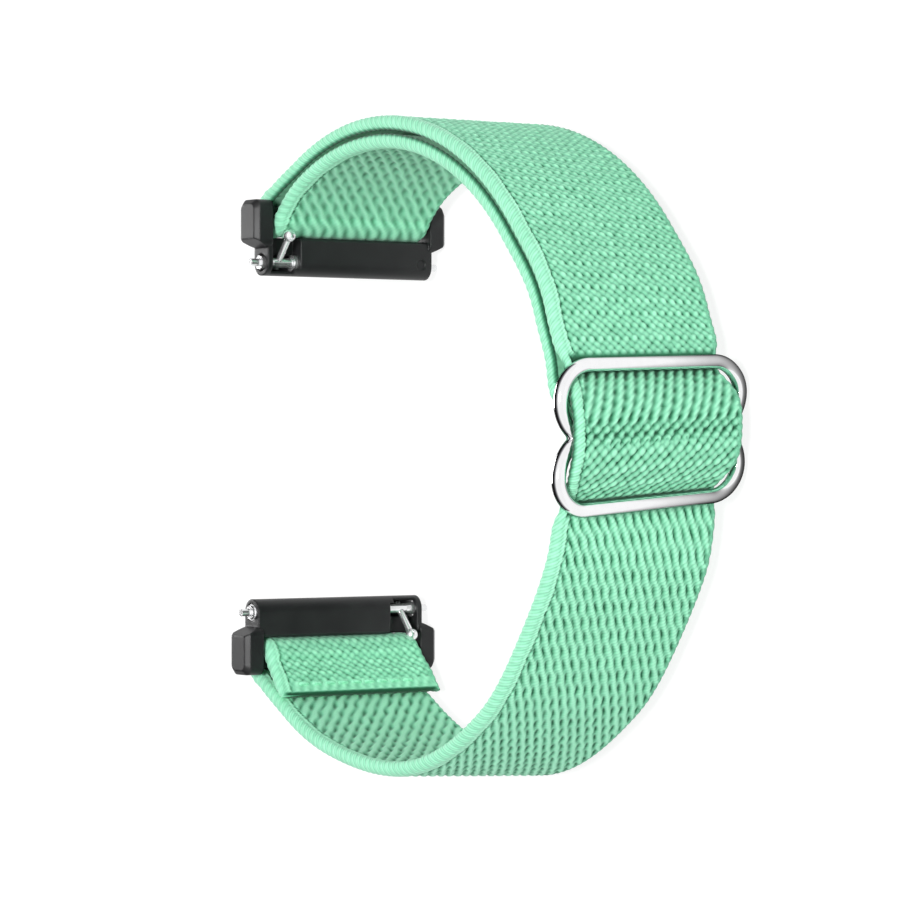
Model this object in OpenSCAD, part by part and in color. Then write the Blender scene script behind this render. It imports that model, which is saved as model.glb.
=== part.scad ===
// Elastic nylon watch band: one length of elastic webbing, two moulded end connectors with
// quick-release spring bars, and a wire tri-glide slider that sets its length.
// The band stands on its side. X runs from the watch opening to the slider, Y from the lower
// to the upper connector, and Z across the webbing.

/* [Webbing] */
// Width of the webbing over its rolled edges
webbing_w = 20; // [16:0.5:24]
// Thickness of the webbing, which is also the diameter of its rolled edges
webbing_t = 1.6; // [1.2:0.1:2]
// Radius of the webbing's outer face where the band is closed to its wearing shape
loop_r = 34.5; // [30:0.5:40]
// Gap between the outer and inner layers of webbing
layer_gap = 0.3; // [0.2:0.05:0.6]
// Length of the folded tail that is sewn down behind the lower connector
tail_len = 6.4; // [5:0.2:9]
// Distance from the tail's end to the seam
seam_inset = 1.2; // [0.8:0.1:2]
// Distance between stitches in a seam
stitch_pitch = 1.7; // [1.2:0.1:2.5]
// Radius of the sewing thread
thread_r = 0.2; // [0.12:0.02:0.3]

/* [Slider] */
// Height of the slider over its upper and lower bars
slider_h = 16; // [14:0.5:20]
// Diameter of the slider's outer wire
slider_wire_d = 1.45; // [1.2:0.05:1.8]
// Diameter of the slider's centre bar, which the webbing is sewn round
center_bar_d = 1; // [0.8:0.1:1.4]
// Radius of the slider's four corners, to the middle of the wire
slider_corner_r = 3.4; // [2.5:0.1:4]
// Depth of the pinch in each side of the slider, where the centre bar is welded
pinch_depth = 1.875; // [1.2:0.125:2.5]
// Distance that the band bows out of its circle at the slider
slider_bow = 0.2; // [0:0.1:0.5]
// Further distance that the upper bar stands out and the lower bar in, as the slider leans
slider_lean = 0.5; // [0:0.1:0.8]
// Thickness of the webbing where it is drawn tight round the centre bar
tight_t = 1; // [0.9:0.1:1.5]
// Depth that the centre bar is let into the outer wire at its two welds
weld_depth = 0.15; // [0.1:0.05:0.3]
// Place of the slider round the band, from straight across from the opening
slider_angle = 1.5; // [-10:0.5:10]
// Angle that the slider can be moved along the band, either way
slider_travel = 30; // [10:1:30]

/* [Connector] */
// Gap between the watch's lugs that the tongue and the spring bar fit
lug_gap = 22; // [20:0.5:25]
// Angle round the band from straight across from the opening to the upper strap bar
upper_angle = 129.2; // [120:0.1:140]
// The same angle to the lower strap bar
lower_angle = 133.8; // [120:0.1:140]
// Lean of the tongue from straight across the opening, inwards positive
connector_lean = 0; // [-15:1:5]
// Thickness of the tongue, which is also the diameter of its rounded nose
tongue_t = 2.9; // [2.7:0.1:3.4]
// Distance from the spring bar's axis back to the tongue's inner edge
tongue_back = 2.75; // [2.2:0.05:3.5]
// Diameter of the moulded bar that carries the webbing
strap_bar_d = 1.6; // [1.2:0.1:2]
// Thickness of each side wing
wing_t = 2.2; // [1.5:0.1:2.6]
// Depth of a side wing, from the wrist side to the outside
wing_depth = 3.7; // [3.2:0.1:4.4]
// Length of a side wing past the strap bar
wing_past_bar = 1.4; // [1.2:0.1:3]
// Length of wing and tongue that overlap at the shoulder
shoulder_len = 1.2; // [0.9:0.1:1.6]
// Depth that the shoulder and the strap bar run into each wing
wing_seat = 0.4; // [0.3:0.1:0.8]
// Radius of the wing's rounded corners
wing_corner_r = 0.9; // [0.5:0.1:1.2]
// Distance from the tongue's end to the outer side of the lever window
window_inset = 0.6; // [0.5:0.1:0.9]
// Length of the lever window along the spring bar
window_len = 3.6; // [3.2:0.1:4.2]

/* [Spring bar] */
// Outer diameter of the spring bar's tube
barrel_d = 1.8; // [1.6:0.05:2]
// Bore of the spring bar's tube
barrel_bore_d = 1.2; // [1.1:0.05:1.3]
// Diameter of the collar behind each tip
collar_d = 1.5; // [1.3:0.05:1.7]
// Diameter of each tip
tip_d = 0.8; // [0.7:0.05:1]
// Length of each tip
tip_len = 1.1; // [0.9:0.05:1.2]
// Travel of the quick-release lever
release_travel = 1.2; // [1:0.1:1.3]
// Length of the lever from the spring bar's axis to the centre of its head
lever_len = 3.8; // [3.4:0.1:4.2]
// Diameter of the lever's stem
lever_stem_d = 0.75; // [0.5:0.05:0.8]
// Diameter of the lever's round head
lever_head_d = 1.4; // [1.2:0.1:1.6]
// Length of the lever's riveted foot past the spring bar's sliding pin
lever_foot = 0.15; // [0.1:0.05:0.25]
// Angle of the lever from the plane of the connector towards the wrist
lever_tilt = 41; // [38:1:60]
// Diameter of the spring's wire
spring_wire_d = 0.22; // [0.16:0.02:0.24]
// Turns of the spring
spring_turns = 12; // [8:1:14]

/* [Clearances] */
// Gap between each end of the tongue and the watch's lug
lug_clearance = 0.3; // [0.1:0.05:0.5]
// Clearance between webbing and what it is threaded round or beside
webbing_gap = 0.1; // [0.08:0.02:0.2]
// Clearance between the webbing's edges and the slider's two sides
slider_gap = 0.55; // [0.35:0.05:1.05]
// Clearance between the webbing's edges and a connector's wings
side_gap = 0.3; // [0.2:0.05:0.5]
// Radial clearance of the spring bar in the tongue, and of the pin in the tube
running_gap = 0.05; // [0.03:0.01:0.08]

/* [Hidden] */
$fn = 48;

MINT = [0.53, 0.87, 0.71];
THREAD = [0.62, 0.93, 0.79];
BLACK = [0.1, 0.1, 0.11];
STEEL = [0.8, 0.81, 0.83];

// Middle radii of the two layers of webbing, and of the pair
outer_mid_r = loop_r - webbing_t / 2;
inner_mid_r = outer_mid_r - webbing_t - layer_gap;
pair_mid_r = (outer_mid_r + inner_mid_r) / 2;

// The webbing that turns round a connector's strap bar leaves the circle a little before it
bar_wrap_r = strap_bar_d / 2 + webbing_gap + webbing_t / 2;
wrap_lead = 13.5;
upper_start = upper_angle - wrap_lead;
lower_start = lower_angle - wrap_lead;
tail_r = outer_mid_r - webbing_t - webbing_gap / 2;
tail_end = lower_angle - tail_len / outer_mid_r * 180 / PI;

// Slider: a flat figure-of-eight wire that lies against the webbing's outer face
wire_r = slider_wire_d / 2;
bar_y = slider_h / 2 - wire_r;
bar_at_r = loop_r + slider_bow + 1.5 * webbing_gap + wire_r;
bar_angle = asin(bar_y / bar_at_r);
slider_x = bar_at_r * cos(bar_angle);
slider_tilt = atan(slider_lean / bar_y);
wing_inner_z = webbing_w / 2 + side_gap;
half_w = wing_inner_z + wing_t;
slider_side_z = webbing_w / 2 + slider_gap + wire_r;
corner_z = slider_side_z - slider_corner_r;
corner_y = bar_y - slider_corner_r;
pinch_y = wire_r / 2;
pinch_z = slider_side_z - pinch_depth;
lobe_r = (pow(pinch_depth, 2) + pow(corner_y - pinch_y, 2)) / (2 * pinch_depth);
lobe_sweep = asin((corner_y - pinch_y) / lobe_r);

// The centre bar is welded behind the two pinches, and the inner layer is sewn round it
center_bar_x = slider_x - wire_r - center_bar_d / 2 + weld_depth;
slider_wrap_r = center_bar_d / 2 + webbing_gap + tight_t / 2;
slider_loop_w = 2 * (pinch_z - wire_r - 2 * webbing_gap);
rise = center_bar_x - slider_wrap_r - inner_mid_r;

// The outer layer bows over the pinches and over the sewn loop
bow_over = max(slider_x + wire_r, center_bar_x + slider_wrap_r + tight_t / 2);
bow = bow_over + webbing_gap + webbing_t / 2 - outer_mid_r;
bow_reach = 10;
run_angle = slider_travel + bar_angle + bow_reach;
slider_loop_start = 9;
slider_tail_end = 4.5;

// Connector, in its own frame: x from the strap bar to the tongue's nose, y towards the wrist
tongue_edge = bar_wrap_r + webbing_t / 2 + 1.5 * webbing_gap;
pin_x = tongue_edge + tongue_back;
wing_front = tongue_edge + shoulder_len;
wing_back = -wing_past_bar;
wing_seat_z = wing_inner_z + wing_seat;
tongue_end = lug_gap / 2 - lug_clearance;
window_out = tongue_end - window_inset;
window_in = window_out - window_len;
bore_r = barrel_d / 2 + running_gap;

// Spring bar, in the connector's frame with the release end at +z
collar_out = lug_gap / 2;
barrel_end = window_in + 0.4;
plug_len = 2.1;
collar_len = 0.5;
shaft_r = barrel_bore_d / 2 - running_gap;
shaft_in = barrel_end - 3.4;
lever_z = barrel_end + release_travel + lever_stem_d / 2 + 0.15;
spring_end_gap = 0.05;
spring_coil_r = shaft_r - spring_wire_d / 2;

// The origin is in the middle of the face that the band stands on
back_x = pair_mid_r * cos(max(upper_angle, lower_angle)) - bar_wrap_r - webbing_t / 2;
front_x = (outer_mid_r + bow) * cos(slider_angle) + webbing_t / 2;
center_x = (back_x + front_x) / 2;
center_y = 0;

EDGE_STEPS = 6;
EPS = 0.01;

function polar(r, a) = [r * cos(a), r * sin(a)];
function ease(f) = (1 + cos(180 * min(abs(f), 1))) / 2;
function spread(from, to, steps) = [for (i = [0 : steps - 1]) from + (to - from) * i / steps];
function unit(v) = v / norm(v);

// A station of a webbing path: place, outward normal, half thickness and half width
function station(p, n, t = webbing_t, w = webbing_w) = [p[0], p[1], n[0], n[1], t / 2, w / 2];
function along(p, t_dir, t = webbing_t, w = webbing_w) = station(p, [t_dir[1], -t_dir[0]], t, w);

// Radius of a layer at the slider: out by bulge at angle 0, in under each bar, and back on the circle
function slider_r(r0, bulge, a) =
    let (fade = ease(max(abs(a) - bar_angle, 0) / bow_reach), lean = slider_lean * max(min(a / bar_angle, 1), -1))
    r0 + (slider_bow + lean) * fade + (bulge - slider_bow) * ease(a / bar_angle);
function slider_tangent(r0, bulge, a) =
    unit(polar(slider_r(r0, bulge, a + EPS), a + EPS) - polar(slider_r(r0, bulge, a - EPS), a - EPS));

function bezier(p0, p1, p2, p3, f) =
    pow(1 - f, 3) * p0 + 3 * pow(1 - f, 2) * f * p1 + 3 * (1 - f) * f * f * p2 + pow(f, 3) * p3;
function bezier_slope(p0, p1, p2, p3, f) =
    pow(1 - f, 2) * (p1 - p0) + 2 * (1 - f) * f * (p2 - p1) + f * f * (p3 - p2);

// Smooth link from place p0 heading d0 to place p3 heading d3
function link(p0, d0, p3, d3, steps, first = 0, last = 1) =
    let (h = 0.38 * norm(p3 - p0), p1 = p0 + h * d0, p2 = p3 - h * d3)
    [for (i = [first : steps - 1 + last])
        along(bezier(p0, p1, p2, p3, i / steps), unit(bezier_slope(p0, p1, p2, p3, i / steps)))];

function edge_section(ht, hw) =
    let (c = hw - ht)
    concat(
        [for (i = [0 : EDGE_STEPS]) let (a = -90 + 180 * i / EDGE_STEPS) [ht * sin(a), c + ht * cos(a)]],
        [for (i = [0 : EDGE_STEPS]) let (a = 90 - 180 * i / EDGE_STEPS) [ht * sin(a), -c - ht * cos(a)]]
    );

// Webbing swept along a list of stations, with rolled edges
module webbing(path) {
    m = 2 * (EDGE_STEPS + 1);
    n = len(path);
    points = [
        for (s = path)
            for (e = edge_section(s[4], s[5])) [s[0] + s[2] * e[0], s[1] + s[3] * e[0], e[1]]
    ];
    sides = [
        for (i = [0 : n - 2])
            for (j = [0 : m - 1])
                let (a = i * m + j, b = i * m + (j + 1) % m)
                for (f = [[a, b + m, b], [a, a + m, b + m]]) f
    ];
    first = [for (j = [1 : m - 2]) [0, j, j + 1]];
    last = [for (j = [1 : m - 2]) [(n - 1) * m, (n - 1) * m + j + 1, (n - 1) * m + j]];
    polyhedron(points, concat(sides, first, last), convexity = 6);
}

// Webbing along a true arc, from angle a0 to a1 at middle radius r
module webbing_arc(r, a0, a1) {
    rotate([0, 0, a0])
        rotate_extrude(angle = a1 - a0, $fn = 180)
            translate([r, 0]) {
                square([webbing_t, webbing_w - webbing_t], center = true);
                for (s = [-1, 1])
                    translate([0, s * (webbing_w - webbing_t) / 2]) circle(d = webbing_t, $fn = 32);
            }
}

function wrap(center, r, a0, a1, steps, t = webbing_t, w = webbing_w) =
    [for (i = [0 : steps]) let (a = a0 + (a1 - a0) * i / steps) station(center + polar(r, a), polar(1, a), t, w)];

// Webbing that leaves the outer circle at angle start, turns round the strap bar at angle at,
// and comes back on the wrist side to radius end_r at angle end
function strap_bar_turn(at, start, end_r, end) =
    let (
        over = 8,
        bar = polar(pair_mid_r, at),
        a0 = at - over,
        a1 = at + 180 + over
    )
    concat(
        link(polar(outer_mid_r, start), polar(1, start + 90), bar + polar(bar_wrap_r, a0), polar(1, a0 + 90),
            10, 0, 0),
        wrap(bar, bar_wrap_r, a0, a1, 18),
        link(bar + polar(bar_wrap_r, a1), polar(1, a1 + 90), polar(end_r, end), polar(1, end - 90), 10, 1)
    );

module webbing_upper_loop() {
    color(MINT) webbing(strap_bar_turn(upper_angle, upper_start, inner_mid_r, upper_start));
}

module webbing_lower_loop() {
    color(MINT) rotate([180, 0, 0]) webbing(strap_bar_turn(lower_angle, lower_start, tail_r, tail_end));
}

module webbing_lower() {
    color(MINT) webbing_arc(outer_mid_r, -lower_start, slider_angle - run_angle);
}

module webbing_outer() {
    color(MINT) webbing_arc(outer_mid_r, slider_angle + run_angle, upper_start);
}

// The stretch that the slider moves along, bowed out over the slider's centre bar
module webbing_slider_run() {
    half = concat(spread(0, bar_angle, 12), spread(bar_angle, bar_angle + bow_reach, 6),
        spread(bar_angle + bow_reach, run_angle, 8), [run_angle]);
    angles = concat([for (i = [len(half) - 1 : -1 : 1]) -half[i]], half);
    color(MINT)
        at_slider()
            webbing([
                for (a = angles) along(polar(slider_r(outer_mid_r, bow, a), a), slider_tangent(outer_mid_r, bow, a))
            ]);
}

// The inner layer, from the upper connector down to the slider
module webbing_inner() {
    end = upper_start - slider_angle;
    angles = concat(spread(slider_loop_start, bar_angle, 4), spread(bar_angle, bar_angle + bow_reach, 6),
        spread(bar_angle + bow_reach, end, 24), [end]);
    color(MINT)
        at_slider()
            webbing([
                for (a = angles) along(polar(slider_r(inner_mid_r, rise, a), a), slider_tangent(inner_mid_r, rise, a))
            ]);
}

// The inner layer's end: narrowed between the pinches, round the centre bar and sewn to itself
module webbing_slider_loop() {
    bar = [center_bar_x, 0];
    steps = 6;
    lead = [
        for (i = [0 : steps - 1])
            let (
                f = i / steps,
                a = slider_loop_start * (1 - f),
                p = polar(slider_r(inner_mid_r, rise, a), a),
                d = slider_tangent(inner_mid_r, rise, a)
            )
            along(p, -d, webbing_t + (tight_t - webbing_t) * f, webbing_w + (slider_loop_w - webbing_w) * f)
    ];
    sewn_r = slider_r(inner_mid_r, rise, slider_tail_end) + tight_t + 2 * webbing_gap;
    tail_at = polar(sewn_r, slider_tail_end);
    tail_dir = slider_tangent(inner_mid_r, rise, slider_tail_end);
    turn = 390;
    tail = [
        for (s = link(bar + polar(slider_wrap_r, turn), polar(1, turn + 90), tail_at, tail_dir, 5, 1))
            [s[0], s[1], s[2], s[3], tight_t / 2, slider_loop_w / 2]
    ];
    color(MINT)
        at_slider() webbing(concat(lead, wrap(bar, slider_wrap_r, 180, turn, 18, tight_t, slider_loop_w), tail));
}

// A row of stitches across the webbing, each a short length of thread sunk into the face at r
module stitch_row(r, a, width) {
    count = floor((width - 2 * webbing_t) / stitch_pitch);
    len = 0.7 * stitch_pitch;
    for (i = [0 : count - 1])
        translate([r * cos(a), r * sin(a), (i - (count - 1) / 2) * stitch_pitch])
            cylinder(r = thread_r, h = len, center = true, $fn = 16);
}

module lower_stitching() {
    row = tail_end + seam_inset / outer_mid_r * 180 / PI;
    color(THREAD)
        rotate([180, 0, 0]) {
            stitch_row(tail_r - webbing_t / 2, row, webbing_w);
            stitch_row(loop_r, row, webbing_w);
        }
}

module slider_stitching() {
    a = slider_tail_end + 1;
    face = slider_r(inner_mid_r, rise, a) - webbing_t / 2 + 0.1;
    color(THREAD) at_slider() stitch_row(face, a, slider_loop_w);
}

// One corner and one side lobe of the figure-of-eight, for the quarter with y and z positive
module slider_quarter() {
    translate([corner_z, corner_y, 0])
        rotate_extrude(angle = 90) translate([slider_corner_r, 0]) circle(r = wire_r, $fn = 32);
    translate([slider_side_z - lobe_r, corner_y, 0])
        rotate([0, 0, -lobe_sweep])
            rotate_extrude(angle = lobe_sweep) translate([lobe_r, 0]) circle(r = wire_r, $fn = 32);
    translate([pinch_z, pinch_y, 0]) sphere(r = wire_r, $fn = 32);
}

module slider_frame() {
    color(STEEL)
        at_slider()
            translate([slider_x, 0, 0])
                rotate([0, -90, -slider_tilt]) {
                    for (x = [0, 1])
                        for (y = [0, 1])
                            mirror([x, 0, 0]) mirror([0, y, 0]) slider_quarter();
                    for (s = [-1, 1])
                        translate([0, s * bar_y, 0])
                            rotate([0, 90, 0]) cylinder(r = wire_r, h = 2 * corner_z, center = true, $fn = 32);
                }
}

module slider_center_bar() {
    color(STEEL)
        at_slider()
            translate([center_bar_x, 0, 0])
                cylinder(d = center_bar_d, h = 2 * (pinch_z + wire_r), center = true, $fn = 32);
}

module wing_profile(inset = 0) {
    r = wing_corner_r - inset / 2;
    w = wing_front - wing_back - 2 * inset;
    d = wing_depth - 2 * inset;
    translate([wing_back + inset, -wing_depth / 2 + inset]) {
        translate([r, 0]) square([w - 2 * r, d]);
        translate([0, r]) square([w, d - 2 * r]);
        for (x = [r, w - r])
            for (y = [r, d - r]) translate([x, y]) circle(r = r, $fn = 32);
    }
}

module wing() {
    bevel = 0.5;
    difference() {
        union() {
            translate([0, 0, wing_inner_z]) linear_extrude(wing_t - bevel) wing_profile();
            hull() {
                translate([0, 0, half_w - bevel - EPS]) linear_extrude(EPS) wing_profile();
                translate([0, 0, half_w - EPS]) linear_extrude(EPS) wing_profile(bevel);
            }
        }
        // sloping shoulder between the tongue's end and the wing's outer face
        translate([wing_front, 0, max(tongue_end, wing_seat_z)])
            rotate([0, -28, 0]) translate([0, -wing_depth, 0]) cube([2 * wing_t, 2 * wing_depth, 2 * wing_t]);
    }
}

module tongue_profile() {
    r = 0.4;
    translate([pin_x, 0]) circle(d = tongue_t);
    translate([tongue_edge + r, -tongue_t / 2]) square([tongue_back - r, tongue_t]);
    translate([tongue_edge, -tongue_t / 2 + r]) square([r, tongue_t - 2 * r]);
    for (s = [-1, 1])
        translate([tongue_edge + r, s * (tongue_t / 2 - r)]) circle(r = r, $fn = 24);
}

module shoulder_profile() {
    intersection() {
        tongue_profile();
        translate([tongue_edge, -tongue_t]) square([shoulder_len, 2 * tongue_t]);
    }
}

// The moulded connector in its own frame, with the strap bar at the origin
module connector(dimple) {
    notch_len = 3;
    notch_past_pin = 1.1;
    window_past_pin = 0.65;
    window_floor = -0.25;
    difference() {
        union() {
            linear_extrude(2 * tongue_end, center = true) tongue_profile();
            linear_extrude(2 * wing_seat_z, center = true) shoulder_profile();
            cylinder(d = strap_bar_d, h = 2 * wing_seat_z, center = true);
            wing();
            mirror([0, 0, 1]) wing();
        }
        translate([pin_x, 0, 0]) cylinder(r = bore_r, h = 2 * tongue_end + 1, center = true);
        translate([tongue_edge - 1, window_floor, window_in])
            cube([tongue_back + 1 + window_past_pin, tongue_t, window_len]);
        translate([pin_x, 0.2, window_out - notch_len]) cube([notch_past_pin, tongue_t, notch_len]);
        if (dimple)
            translate([pin_x - 0.2, tongue_t / 2 - 0.2, -tongue_end + 1.4])
                rotate([-90, 0, 0]) cylinder(d = 1.2, h = 1);
    }
}

module barrel() {
    translate([pin_x, 0, -tongue_end])
        difference() {
            cylinder(d = barrel_d, h = tongue_end + barrel_end);
            translate([0, 0, -1]) cylinder(d = barrel_bore_d, h = 2 * tongue_end + 2);
        }
}

// Crimped plug, collar and tip at the fixed end
module fixed_tip() {
    translate([pin_x, 0, 0]) {
        translate([0, 0, -tongue_end]) cylinder(d = barrel_bore_d, h = plug_len);
        translate([0, 0, -collar_out]) cylinder(d = collar_d, h = collar_out - tongue_end);
        translate([0, 0, -collar_out - tip_len]) cylinder(d = tip_d, h = tip_len);
    }
}

// Sliding pin with its cone, collar and tip at the release end
module release_pin() {
    cone_from = lever_z + 0.7;
    translate([pin_x, 0, 0])
        rotate_extrude()
            polygon([
                [0, shaft_in], [shaft_r, shaft_in], [shaft_r, cone_from],
                [collar_d / 2, collar_out - collar_len], [collar_d / 2, collar_out],
                [tip_d / 2, collar_out], [tip_d / 2, collar_out + tip_len], [0, collar_out + tip_len]
            ]);
}

// Lever with a round, dimpled head, riveted through the sliding pin
module release_lever() {
    foot = shaft_r + lever_foot;
    translate([pin_x, 0, lever_z])
        rotate([0, 0, 180 - lever_tilt])
            rotate([0, 90, 0])
                difference() {
                    union() {
                        translate([0, 0, -foot]) cylinder(d = lever_stem_d, h = lever_len + foot, $fn = 24);
                        translate([0, 0, lever_len]) sphere(d = lever_head_d);
                    }
                    translate([0, -lever_head_d / 2 + 0.35, lever_len])
                        rotate([90, 0, 0]) cylinder(d = 0.5, h = 1, $fn = 24);
                }
}

SPRING_FROM = -tongue_end + plug_len + spring_end_gap + spring_wire_d / 2;
SPRING_TO = shaft_in - spring_end_gap - spring_wire_d / 2;

function coil_point(i) =
    let (f = i / (8 * spring_turns))
    [spring_coil_r * cos(45 * i), spring_coil_r * sin(45 * i), SPRING_FROM + (SPRING_TO - SPRING_FROM) * f];

// Coil spring as one unbroken wire: eight rings a turn, six sides
module bar_spring() {
    rings = 8 * spring_turns;
    sides = 6;
    points = [
        for (i = [0 : rings])
            let (
                p = coil_point(i),
                out = [cos(45 * i), sin(45 * i), 0],
                go = unit(coil_point(i + 1) - coil_point(i - 1)),
                up = cross(go, out)
            )
            for (j = [0 : sides - 1])
                p + spring_wire_d / 2 * (cos(360 * j / sides) * out + sin(360 * j / sides) * up)
    ];
    skin = [
        for (i = [0 : rings - 1])
            for (j = [0 : sides - 1])
                let (a = i * sides + j, b = i * sides + (j + 1) % sides)
                for (f = [[a, b, b + sides], [a, b + sides, a + sides]]) f
    ];
    cap0 = [for (j = [1 : sides - 2]) [0, j + 1, j]];
    cap1 = [for (j = [1 : sides - 2]) [rings * sides, rings * sides + j, rings * sides + j + 1]];
    translate([pin_x, 0, 0]) polyhedron(points, concat(skin, cap0, cap1), convexity = 10);
}

// Least gap of the spring to itself: between turns, and across the coil
echo(spring_gap = min((SPRING_TO - SPRING_FROM) / spring_turns, 2 * spring_coil_r) - spring_wire_d);

module at_slider() {
    rotate([0, 0, slider_angle]) children();
}

// A connector hangs on its strap bar at each end; the lower one is turned over
module on_strap_bar(at) {
    translate(polar(pair_mid_r, at)) rotate([0, 0, -90 + connector_lean]) children();
}

module upper_end() {
    on_strap_bar(upper_angle) children();
}

module lower_end() {
    rotate([180, 0, 0]) on_strap_bar(lower_angle) children();
}

module stand() {
    translate([-center_x, -center_y, half_w]) children();
}

stand() webbing_lower();
stand() webbing_slider_run();
stand() webbing_outer();
stand() webbing_inner();
stand() webbing_upper_loop();
stand() webbing_lower_loop();
stand() lower_stitching();
stand() slider_frame();
stand() slider_center_bar();
stand() webbing_slider_loop();
stand() slider_stitching();
stand() upper_end() color(BLACK) connector(true);  // upper_connector
stand() upper_end() color(STEEL) barrel();  // upper_bar_barrel
stand() upper_end() color(STEEL) fixed_tip();  // upper_fixed_tip
stand() upper_end() color(STEEL) bar_spring();  // upper_bar_spring
stand() upper_end() color(STEEL) release_pin();  // upper_release_pin
stand() upper_end() color(STEEL) release_lever();  // upper_release_lever
stand() lower_end() color(BLACK) connector(false);  // lower_connector
stand() lower_end() color(STEEL) barrel();  // lower_bar_barrel
stand() lower_end() color(STEEL) fixed_tip();  // lower_fixed_tip
stand() lower_end() color(STEEL) bar_spring();  // lower_bar_spring
stand() lower_end() color(STEEL) release_pin();  // lower_release_pin
stand() lower_end() color(STEEL) release_lever();  // lower_release_lever
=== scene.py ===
import math

import bpy
import numpy as np
from mathutils import Matrix, Vector


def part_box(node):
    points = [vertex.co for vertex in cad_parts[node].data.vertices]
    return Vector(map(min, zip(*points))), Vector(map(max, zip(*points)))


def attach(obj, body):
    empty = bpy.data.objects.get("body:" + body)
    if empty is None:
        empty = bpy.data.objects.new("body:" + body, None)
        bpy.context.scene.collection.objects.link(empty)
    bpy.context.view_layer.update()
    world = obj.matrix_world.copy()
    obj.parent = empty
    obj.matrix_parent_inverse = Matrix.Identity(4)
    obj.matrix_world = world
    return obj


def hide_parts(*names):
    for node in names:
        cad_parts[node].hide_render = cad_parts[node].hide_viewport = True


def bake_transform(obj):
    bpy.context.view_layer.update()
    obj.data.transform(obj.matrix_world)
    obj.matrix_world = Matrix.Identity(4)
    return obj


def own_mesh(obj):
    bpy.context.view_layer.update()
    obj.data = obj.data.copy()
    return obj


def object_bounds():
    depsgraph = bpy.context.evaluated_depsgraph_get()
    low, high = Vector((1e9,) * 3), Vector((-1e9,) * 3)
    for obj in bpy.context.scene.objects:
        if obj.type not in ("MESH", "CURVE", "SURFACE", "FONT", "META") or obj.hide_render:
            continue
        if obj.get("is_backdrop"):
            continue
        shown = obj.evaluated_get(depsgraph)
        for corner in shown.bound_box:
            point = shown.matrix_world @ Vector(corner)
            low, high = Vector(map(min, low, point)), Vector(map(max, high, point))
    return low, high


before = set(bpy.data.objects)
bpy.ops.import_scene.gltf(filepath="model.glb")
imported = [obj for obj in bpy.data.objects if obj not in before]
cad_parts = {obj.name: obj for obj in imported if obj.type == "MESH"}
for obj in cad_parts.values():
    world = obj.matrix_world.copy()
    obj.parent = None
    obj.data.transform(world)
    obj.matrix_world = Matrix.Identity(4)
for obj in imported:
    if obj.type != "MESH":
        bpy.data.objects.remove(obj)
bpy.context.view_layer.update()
scene = bpy.context.scene
scene.view_settings.view_transform = "Standard"

# The elastic watch band. X runs from the watch opening to the slider, Y from the lower to the
# upper connector and Z across the webbing. Sizes are in mm and angles in degrees, in the
# loop's own frame, until to_row() turns places into the row frame's metres.

# Driving sizes, with part.scad's values and its names in capitals

WEBBING_W = 20.0
WEBBING_T = 1.6
LOOP_R = 34.5
LAYER_GAP = 0.3
TAIL_LEN = 6.4
SEAM_INSET = 1.2
STITCH_PITCH = 1.7
THREAD_R = 0.2
SLIDER_H = 16.0
SLIDER_WIRE_D = 1.45
CENTER_BAR_D = 1.0
SLIDER_CORNER_R = 3.4
PINCH_DEPTH = 1.875
SLIDER_BOW = 0.2
SLIDER_LEAN = 0.5
TIGHT_T = 1.0
WELD_DEPTH = 0.15
SLIDER_ANGLE = 1.5
BOW_REACH = 10.0
SLIDER_LOOP_START = 9.0
SLIDER_TAIL_END = 4.5
UPPER_ANGLE = 129.2
LOWER_ANGLE = 133.8
WRAP_LEAD = 13.5
STRAP_BAR_D = 1.6
WING_T = 2.2
SPRING_WIRE_D = 0.22
SPRING_TURNS = 12
WEBBING_GAP = 0.1
SLIDER_GAP = 0.55
SIDE_GAP = 0.3

# Middle radii of the two layers and of the pair, and where the webbing turns round a strap bar

OUTER_R = LOOP_R - WEBBING_T / 2
INNER_R = OUTER_R - WEBBING_T - LAYER_GAP
PAIR_R = (OUTER_R + INNER_R) / 2
BAR_WRAP_R = STRAP_BAR_D / 2 + WEBBING_GAP + WEBBING_T / 2
UPPER_START = UPPER_ANGLE - WRAP_LEAD
LOWER_START = LOWER_ANGLE - WRAP_LEAD
TAIL_R = OUTER_R - WEBBING_T - WEBBING_GAP / 2
TAIL_END = LOWER_ANGLE - math.degrees(TAIL_LEN / OUTER_R)

# The slider's wire, a flat figure of eight against the webbing's outer face

WIRE_R = SLIDER_WIRE_D / 2
BAR_Y = SLIDER_H / 2 - WIRE_R
BAR_AT_R = LOOP_R + SLIDER_BOW + 1.5 * WEBBING_GAP + WIRE_R
BAR_ANGLE = math.degrees(math.asin(BAR_Y / BAR_AT_R))
SLIDER_X = BAR_AT_R * math.cos(math.radians(BAR_ANGLE))
SIDE_Z = WEBBING_W / 2 + SLIDER_GAP + WIRE_R
CORNER_Z = SIDE_Z - SLIDER_CORNER_R
CORNER_Y = BAR_Y - SLIDER_CORNER_R
PINCH_Z = SIDE_Z - PINCH_DEPTH
LOBE_RISE = CORNER_Y - WIRE_R / 2
LOBE_R = (PINCH_DEPTH ** 2 + LOBE_RISE ** 2) / (2 * PINCH_DEPTH)
LOBE_SWEEP = math.degrees(math.asin(LOBE_RISE / LOBE_R))

# The centre bar, the inner layer that is sewn round it, and the outer layer that bows over both

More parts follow.
